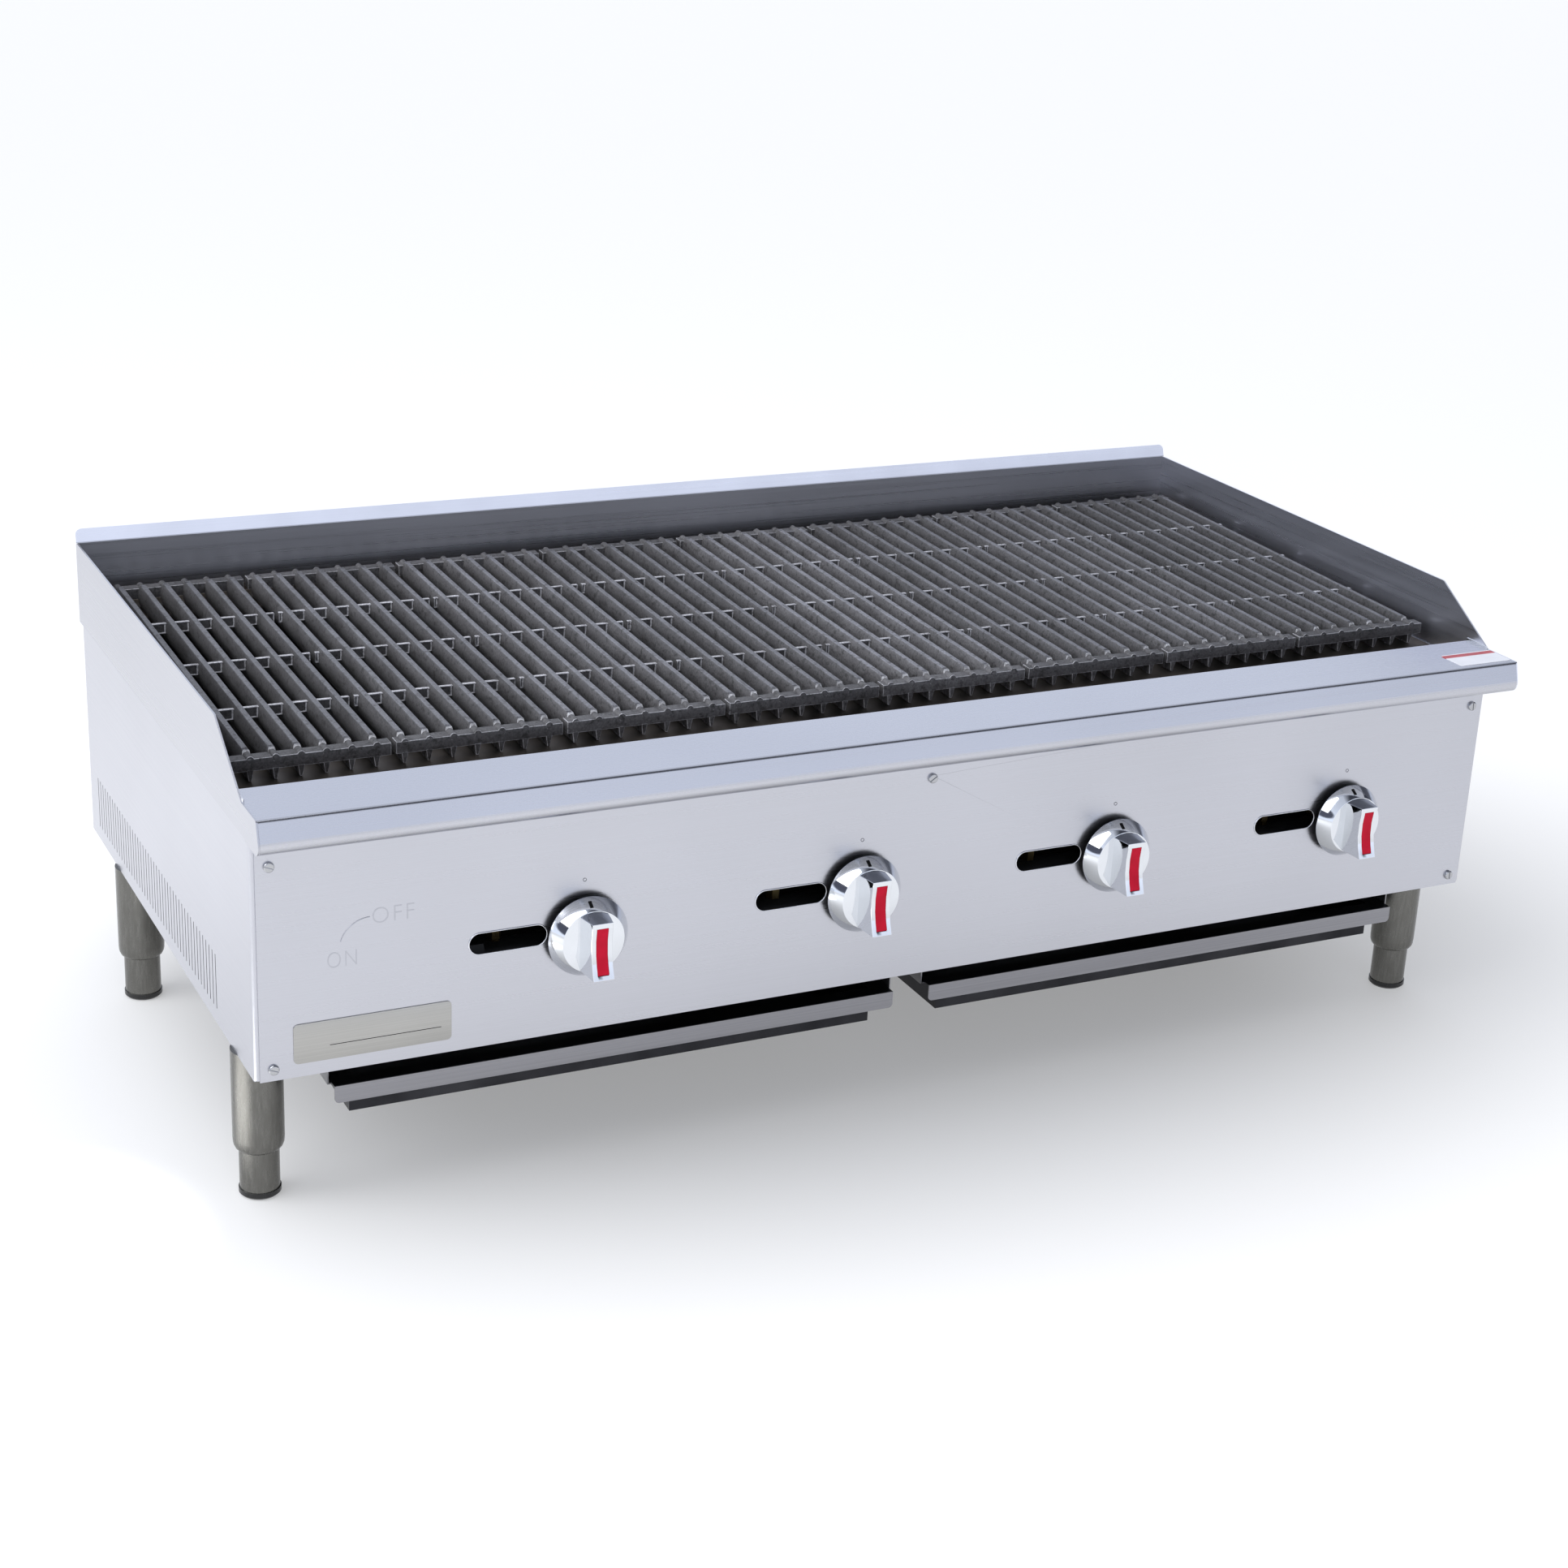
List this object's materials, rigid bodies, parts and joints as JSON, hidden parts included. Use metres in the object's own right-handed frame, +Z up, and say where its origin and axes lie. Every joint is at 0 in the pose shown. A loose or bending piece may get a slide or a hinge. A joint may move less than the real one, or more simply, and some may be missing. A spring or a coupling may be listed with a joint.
{
  "type": "countertop gas charbroiler",
  "caption": "Countertop radiant gas charbroiler: stainless cabinet and splash guard, cast-iron grates, knobs, drip trays and adjustable legs.",
  "frame": {"origin": "on the counter, below the middle of the whole object's box", "axes": "+X to the right along the grates, the knobs face -Y, +Z up"},
  "size_m": [1.219, 0.665, 0.4379],
  "materials": {
    "splash_guard": "brushed",
    "cabinet": "brushed",
    "front_panel": "brushed",
    "ledge": "satin",
    "liner": "dull",
    "grate_iron": "as cast",
    "radiant": "heat dulled",
    "burner": "heat dulled",
    "valve_brass": "machined",
    "pipe_steel": "black pipe",
    "knob_chrome": "polished",
    "knob_red": "gloss",
    "tray_steel": "satin",
    "rail_steel": "satin",
    "leg_steel": "satin",
    "screw_steel": "polished",
    "nameplate": "brushed",
    "label": "printed"
  },
  "bodies": {
    "cabinet": {"splash_left": "splash_guard", "splash_right": "splash_guard", "splash_back": "splash_guard", "cabinet_side_left": "cabinet", "cabinet_side_right": "cabinet", "cabinet_back": "cabinet", "cabinet_floor": "cabinet", "front_panel": "front_panel", "front_ledge": "ledge", "firebox_liner": "liner", "grate_rail_front": "liner", "grate_rail_rear": "liner", "radiant_supports": "liner", "burner_rest": "liner", "radiant_1": "radiant", "radiant_2": "radiant", "radiant_3": "radiant", "radiant_4": "radiant", "burner_1": "burner", "burner_2": "burner", "burner_3": "burner", "burner_4": "burner", "gas_valve_1": "valve_brass", "gas_valve_2": "valve_brass", "gas_valve_3": "valve_brass", "gas_valve_4": "valve_brass", "pilot_assembly": "valve_brass", "gas_manifold": "pipe_steel", "gas_inlet_pipe": "pipe_steel", "tray_rails": "rail_steel", "leg_sleeves": "leg_steel", "panel_screws": "screw_steel", "nameplate": "nameplate", "warning_label": "label"},
    "knob_1_body": {"knob_1": "knob_chrome", "knob_insert_1": "knob_red", "valve_stem_1": "valve_brass"},
    "knob_2_body": {"knob_2": "knob_chrome", "knob_insert_2": "knob_red", "valve_stem_2": "valve_brass"},
    "knob_3_body": {"knob_3": "knob_chrome", "knob_insert_3": "knob_red", "valve_stem_3": "valve_brass"},
    "knob_4_body": {"knob_4": "knob_chrome", "knob_insert_4": "knob_red", "valve_stem_4": "valve_brass"},
    "drip_tray_left_body": {"drip_tray_left": "tray_steel"},
    "drip_tray_right_body": {"drip_tray_right": "tray_steel"},
    "grate_1_body": {"grate_1": "grate_iron"},
    "grate_2_body": {"grate_2": "grate_iron"},
    "grate_3_body": {"grate_3": "grate_iron"},
    "grate_4_body": {"grate_4": "grate_iron"},
    "grate_5_body": {"grate_5": "grate_iron"},
    "grate_6_body": {"grate_6": "grate_iron"},
    "grate_7_body": {"grate_7": "grate_iron"},
    "grate_8_body": {"grate_8": "grate_iron"},
    "foot_1_body": {"foot_1": "leg_steel"},
    "foot_2_body": {"foot_2": "leg_steel"},
    "foot_3_body": {"foot_3": "leg_steel"},
    "foot_4_body": {"foot_4": "leg_steel"}
  },
  "joints": [
    {"name": "knob_1_turn", "type": "hinge", "parent": "cabinet", "child": "knob_1_body", "pos_m": [-0.3245, -0.3, 0.224], "axis": [0, -1, 0], "range_deg": [0, 90]},
    {"name": "knob_2_turn", "type": "hinge", "parent": "cabinet", "child": "knob_2_body", "pos_m": [-0.0657, -0.3, 0.224], "axis": [0, -1, 0], "range_deg": [0, 90]},
    {"name": "knob_3_turn", "type": "hinge", "parent": "cabinet", "child": "knob_3_body", "pos_m": [0.1931, -0.3, 0.224], "axis": [0, -1, 0], "range_deg": [0, 90]},
    {"name": "knob_4_turn", "type": "hinge", "parent": "cabinet", "child": "knob_4_body", "pos_m": [0.4519, -0.3, 0.224], "axis": [0, -1, 0], "range_deg": [0, 90]},
    {"name": "drip_tray_left_slide", "type": "slide", "parent": "cabinet", "child": "drip_tray_left_body", "axis": [0, -1, 0], "range_m": [0, 0.45]},
    {"name": "drip_tray_right_slide", "type": "slide", "parent": "cabinet", "child": "drip_tray_right_body", "axis": [0, -1, 0], "range_m": [0, 0.45]},
    {"name": "grate_1_lift", "type": "slide", "parent": "cabinet", "child": "grate_1_body", "axis": [0, 0, 1], "range_m": [0, 0.15]},
    {"name": "grate_2_lift", "type": "slide", "parent": "cabinet", "child": "grate_2_body", "axis": [0, 0, 1], "range_m": [0, 0.15]},
    {"name": "grate_3_lift", "type": "slide", "parent": "cabinet", "child": "grate_3_body", "axis": [0, 0, 1], "range_m": [0, 0.15]},
    {"name": "grate_4_lift", "type": "slide", "parent": "cabinet", "child": "grate_4_body", "axis": [0, 0, 1], "range_m": [0, 0.15]},
    {"name": "grate_5_lift", "type": "slide", "parent": "cabinet", "child": "grate_5_body", "axis": [0, 0, 1], "range_m": [0, 0.15]},
    {"name": "grate_6_lift", "type": "slide", "parent": "cabinet", "child": "grate_6_body", "axis": [0, 0, 1], "range_m": [0, 0.15]},
    {"name": "grate_7_lift", "type": "slide", "parent": "cabinet", "child": "grate_7_body", "axis": [0, 0, 1], "range_m": [0, 0.15]},
    {"name": "grate_8_lift", "type": "slide", "parent": "cabinet", "child": "grate_8_body", "axis": [0, 0, 1], "range_m": [0, 0.15]},
    {"name": "foot_1_screw", "type": "slide", "parent": "cabinet", "child": "foot_1_body", "axis": [0, 0, -1], "range_m": [0, 0.025]},
    {"name": "foot_2_screw", "type": "slide", "parent": "cabinet", "child": "foot_2_body", "axis": [0, 0, -1], "range_m": [0, 0.025]},
    {"name": "foot_3_screw", "type": "slide", "parent": "cabinet", "child": "foot_3_body", "axis": [0, 0, -1], "range_m": [0, 0.025]},
    {"name": "foot_4_screw", "type": "slide", "parent": "cabinet", "child": "foot_4_body", "axis": [0, 0, -1], "range_m": [0, 0.025]}
  ]
}
